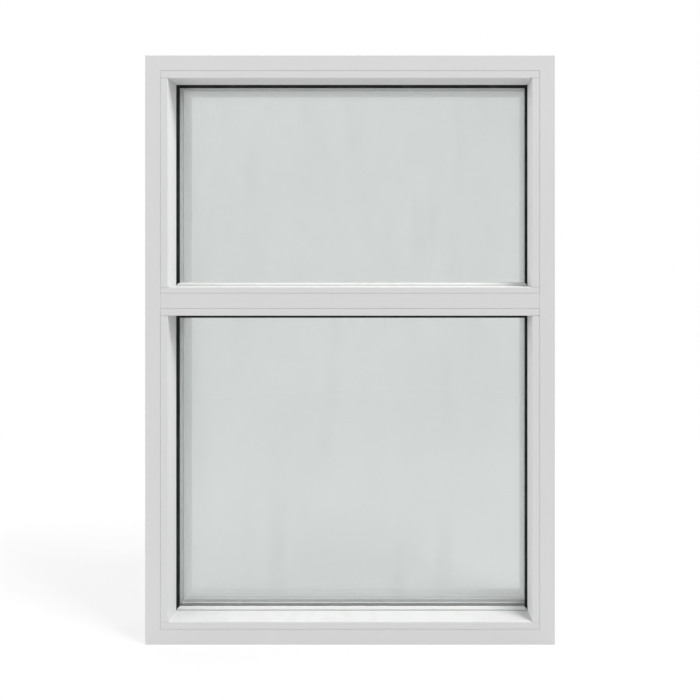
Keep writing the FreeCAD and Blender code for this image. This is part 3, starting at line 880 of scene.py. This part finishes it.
class WINDOW_OT_add_cap_beads(bpy.types.Operator):
    """White sealant over the wedge gasket along the bottom of both lights"""

    bl_idname = "window.add_cap_beads"
    bl_label = "Add Cap Beads"

    def execute(self, context):
        settings = context.scene.picture_window.cap_bead
        material = white_sealant(settings)
        for light in ("lower", "upper"):
            add_piece(light + "_cap_bead", [self.cap_bead(light, settings)], material)
        return {"FINISHED"}

    @staticmethod
    def cap_bead(light, settings):
        """A profile carried along the bottom of a light.

        Its upper side runs from just behind the glazing bead to the glass, as a straight line plus
        a swelling of sine shape, and wanders by two sines along the length. Its under side is the
        same line just below. Its ends slant, from the upright beads to the upright gaskets.
        """
        _, bead_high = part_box(light + "_bead_bottom")
        side_low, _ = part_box(light + "_bead_right")
        _, wedge_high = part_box(light + "_wedge_bottom")
        wedge_side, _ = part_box(light + "_wedge_right")
        swelling, thickness = 0.9 * MM, 1.2 * MM
        t = np.linspace(0.0, 1.0, 9)
        front = bead_high.y + 0.6 * MM
        depth = front + t * (wedge_high.y - front)
        top = bead_high.z + settings.lap + (settings.rise - settings.lap) * t
        top += swelling * np.sin(math.pi * t)
        under = top - thickness
        y = np.concatenate([depth, depth[::-1]])
        z = np.concatenate([top, under[::-1]])
        end = side_low.x + (wedge_side.x - side_low.x) * np.concatenate([t, t[::-1]])
        along = np.linspace(-1.0, 1.0, 241)[:, None]
        x = along * end[None, :]
        waver = np.sin(41.0 * along + 0.4) * 0.6 + np.sin(97.0 * along + 1.9) * 0.4
        lift = np.concatenate([np.sin(math.pi * t * 0.5), np.zeros(len(t))])
        z = z[None, :] + settings.waver * waver * lift[None, :]
        y = np.broadcast_to(y, x.shape)
        return swept(np.stack([x, y, z], 2))


class WINDOW_OT_add_transom_screws(bpy.types.Operator):
    """Screws through the jambs into the ports of the transom"""

    bl_idname = "window.add_transom_screws"
    bl_label = "Add Transom Screws"

    # Depth behind the room-side face, height above the lower edge of the transom's tube, and the
    # distance of the screwed wall from the side of the frame, in millimetres
    places = ((12.0, 5.0, 32.6), (33.0, 29.0, 32.6), (92.0, -17.2, 54.8), (92.0, 48.7, 54.8))

    def execute(self, context):
        settings = context.scene.picture_window.screw
        material = zinc_plate()
        transom_low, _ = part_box("transom_inner")
        for name, side in (("left", -1.0), ("right", 1.0)):
            shapes = []
            for depth, height, wall in self.places:
                seat = (
                    side * (CAD_HIGH.x - wall * MM),
                    ROOM_FACE + depth * MM,
                    transom_low.z + height * MM,
                )
                shapes.append(self.screw(seat, side, settings))
            add_piece("transom_screws_" + name, shapes, material)
        return {"FINISHED"}

    @staticmethod
    def screw(seat, side, settings):
        """A lathed screw with a cross recess, pointing inwards from its seat.

        Round the axis the radius follows a list of stations: the middle of the head, its dome, its
        rim, its underside, the shank and the point. The recess lowers the head by a smooth bell
        across each of two crossed bars that fade out towards the rim.
        """
        r, h = settings.head_radius, settings.head_height
        shank, point, tip = 1.9 * MM, 1.3 * MM, 0.1 * MM
        dome = np.linspace(0.0, 0.5 * math.pi, 15)
        radius = np.concatenate([r * np.sin(dome) ** 0.8, [r, shank, shank, point, tip]])
        height = np.concatenate([h * (0.45 + 0.55 * np.cos(dome)), [0.0, 0.0, -0.9, -0.96, -1.0]])
        height[-3:] *= settings.shank_length
        radius[0] = 0.02 * MM
        turn = np.linspace(0.0, 2 * math.pi, 32, endpoint=False)
        a = radius[:, None] * np.cos(turn)[None, :]
        b = radius[:, None] * np.sin(turn)[None, :]
        bar_width, recess = 0.6 * MM, 1.6 * MM
        bars = np.maximum(np.exp(-((a / bar_width) ** 2)), np.exp(-((b / bar_width) ** 2)))
        fade = np.clip(1.6 - 2.2 * radius / r, 0.0, 1.0)[:, None]
        on_head = (np.arange(len(radius)) < len(dome))[:, None]
        out = height[:, None] - recess * bars * fade * on_head
        points = np.stack([seat[0] + side * out, seat[1] + a, seat[2] + b], 2)
        return swept(points)


class WINDOW_OT_add_weep_baffles(bpy.types.Operator):
    """Slatted plastic baffles in the weep slots of the outside face"""

    bl_idname = "window.add_weep_baffles"
    bl_label = "Add Weep Baffles"

    # Slot size, its middle above the lower edge of its profile and from the side of the frame
    slot_length = 25.0 * MM
    slot_height = 5.0 * MM
    slot_level = 7.0 * MM
    slot_from_side = 110.0 * MM

    def execute(self, context):
        settings = context.scene.picture_window.baffle
        material = baffle_plastic()
        shapes = []
        for profile in ("frame_outer_bottom", "transom_outer"):
            low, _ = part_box(profile)
            for side in (-1.0, 1.0):
                middle = side * (CAD_HIGH.x - self.slot_from_side)
                shapes += self.baffle(middle, low.z + self.slot_level, settings)
        add_piece("weep_baffles", shapes, material, smooth=False)
        return {"FINISHED"}

    def baffle(self, x, z, settings):
        """A rim that is a rectangle carried round the slot's outline, and level slats across it.

        The outline at an angle is a circle whose halves are pulled apart by the straight length.
        A slat is a four-cornered section that slopes down to the outside.
        """
        outer = self.slot_height / 2 - settings.clearance
        straight = self.slot_length / 2 - self.slot_height / 2
        front = OUTSIDE_FACE - 0.25 * MM
        back = OUTSIDE_FACE - 2.0 * MM
        turn = np.linspace(0.0, 2 * math.pi, 48, endpoint=False)
        reach = np.array([outer, outer, outer - settings.wall, outer - settings.wall])
        across = np.cos(turn)[:, None] * reach + np.sign(np.cos(turn))[:, None] * straight
        up = np.sin(turn)[:, None] * reach
        depth = np.broadcast_to([back, front, front, back], up.shape)
        shapes = [swept(np.stack([x + across, depth, z + up], 2), closed=True)]
        half = straight + outer - settings.wall * 0.5
        inset, tall = 0.15 * MM, 0.28 * MM
        depth = [back + inset, front - inset, front - inset, back + inset]
        steps = np.linspace(-1.0, 1.0, settings.slats + 2)[1:-1]
        for level in z + steps * (outer - settings.wall):
            up = level + tall * np.array([-1.0, -2.4, -0.4, 1.0])
            section = np.stack([np.zeros(4), depth, up], 1)
            slat = np.stack([section, section])
            slat[:, :, 0] = [[x - half], [x + half]]
            shapes.append(swept(slat))
        return shapes


class WINDOW_OT_add_studio(bpy.types.Operator):
    """Pale floor, even sky, four soft lights and the camera"""

    bl_idname = "window.add_studio"
    bl_label = "Add Studio"

    # Name, place, length of a side in metres, and the setting that holds the power
    lamps = (
        ("key_light", (1.8, -1.0, 4.6), 1.0, "key"),
        ("front_fill", (-3.0, -1.1, 1.8), 1.8, "fill"),
        ("back_fill_left", (-2.4, 2.0, 1.6), 1.8, "fill"),
        ("back_fill_right", (2.4, 2.0, 1.6), 1.8, "fill"),
    )
    lit_point = (0.0, 0.0, 0.65)

    def execute(self, context):
        settings = context.scene.picture_window.studio
        scene = context.scene
        scene.view_settings.view_transform = "Standard"
        self.add_floor(settings)
        self.add_sky(scene, settings)
        for name, place, side, power in self.lamps:
            self.add_light(name, place, self.lit_point, side, getattr(settings, power))
        camera = bpy.data.objects.new("camera", bpy.data.cameras.new("camera"))
        camera.location = settings.eye
        camera.rotation_euler = (math.pi / 2, 0.0, 0.0)
        camera.data.lens = settings.lens
        camera.data.shift_x, camera.data.shift_y = settings.shift
        scene.collection.objects.link(camera)
        scene.camera = camera
        return {"FINISHED"}

    @staticmethod
    def add_floor(settings):
        """A square of four corners under the frame, white to the camera further out.

        Near the frame it shows part of its own pale colour, and so the shadow of the window.
        """
        half = settings.floor
        corners = [(-half, -half, 0.0), (half, -half, 0.0), (half, half, 0.0), (-half, half, 0.0)]
        mesh = bpy.data.meshes.new("floor")
        mesh.from_pydata(corners, [], [(0, 1, 2, 3)])
        ground = Finish("pale_floor")
        cloud = ground.noise(1.5, detail=2.0)
        matt = ground.surface(
            Base_Color=ground.mix(cloud, (0.80, 0.80, 0.80), (0.82, 0.82, 0.82)),
            Roughness=0.9,
            Specular_IOR_Level=0.1,
        )
        glow = ground.node("ShaderNodeEmission", inputs={"Color": WHITE, "Strength": 1.0})
        away = (ground.x * ground.x + ground.y * ground.y) ** 0.5
        glowing = ground.looked_at() * (0.7 + 0.3 * away.rise(0.6, 2.4))
        seen = ground.node("ShaderNodeMixShader", inputs={0: glowing, 1: matt, 2: glow})
        mesh.materials.append(ground.done(seen))
        floor = bpy.data.objects.new("floor", mesh)
        bpy.context.scene.collection.objects.link(floor)

    @staticmethod
    def add_sky(scene, settings):
        """A world that lights evenly and is plain white to the camera, in gloss and through glass."""
        world = bpy.data.worlds.new("studio")
        scene.world = world
        sky = Nodes(world)
        seen = sky.looked_at()
        strength = settings.sky * (1 - seen) + seen
        light = sky.node("ShaderNodeBackground", inputs={"Color": WHITE, "Strength": strength})
        sky.node("ShaderNodeOutputWorld", inputs={"Surface": light})

    @staticmethod
    def add_light(name, place, target, side, power):
        """A square soft light at a place, turned to a target."""
        data = bpy.data.lights.new(name, "AREA")
        data.energy = power
        data.size = side
        light = bpy.data.objects.new(name, data)
        light.location = place
        light.visible_glossy = False
        aim = np.array(target) - np.array(place)
        flat = math.hypot(aim[0], aim[1])
        light.rotation_euler = (math.pi / 2 + math.atan2(aim[2], flat), 0.0, math.atan2(-aim[0], aim[1]))
        bpy.context.scene.collection.objects.link(light)


OPERATORS = (
    WINDOW_OT_add_studio,
    WINDOW_OT_paint_frame,
    WINDOW_OT_finish_glass,
    WINDOW_OT_finish_rubber,
    WINDOW_OT_finish_hidden,
    WINDOW_OT_add_cap_beads,
    WINDOW_OT_add_transom_screws,
    WINDOW_OT_add_weep_baffles,
)


class WINDOW_PT_panel(bpy.types.Panel):
    """Lists the steps that finish the window"""

    bl_idname = "WINDOW_PT_panel"
    bl_label = "Picture Window"
    bl_space_type = "VIEW_3D"
    bl_region_type = "UI"
    bl_category = "Window"

    def draw(self, context):
        for operator in OPERATORS:
            self.layout.operator(operator.bl_idname)


CLASSES = (
    PaintSettings,
    GlassSettings,
    RubberSettings,
    CapBeadSettings,
    ScrewSettings,
    BaffleSettings,
    StudioSettings,
    WindowSettings,
    *OPERATORS,
    WINDOW_PT_panel,
)


def register():
    for cls in CLASSES:
        bpy.utils.register_class(cls)
    bpy.types.Scene.picture_window = PointerProperty(type=WindowSettings)


def unregister():
    del bpy.types.Scene.picture_window
    for cls in reversed(CLASSES):
        bpy.utils.unregister_class(cls)


def main():
    register()
    for operator in OPERATORS:
        group, action = operator.bl_idname.split(".")
        getattr(getattr(bpy.ops, group), action)()


if __name__ == "__main__":
    main()
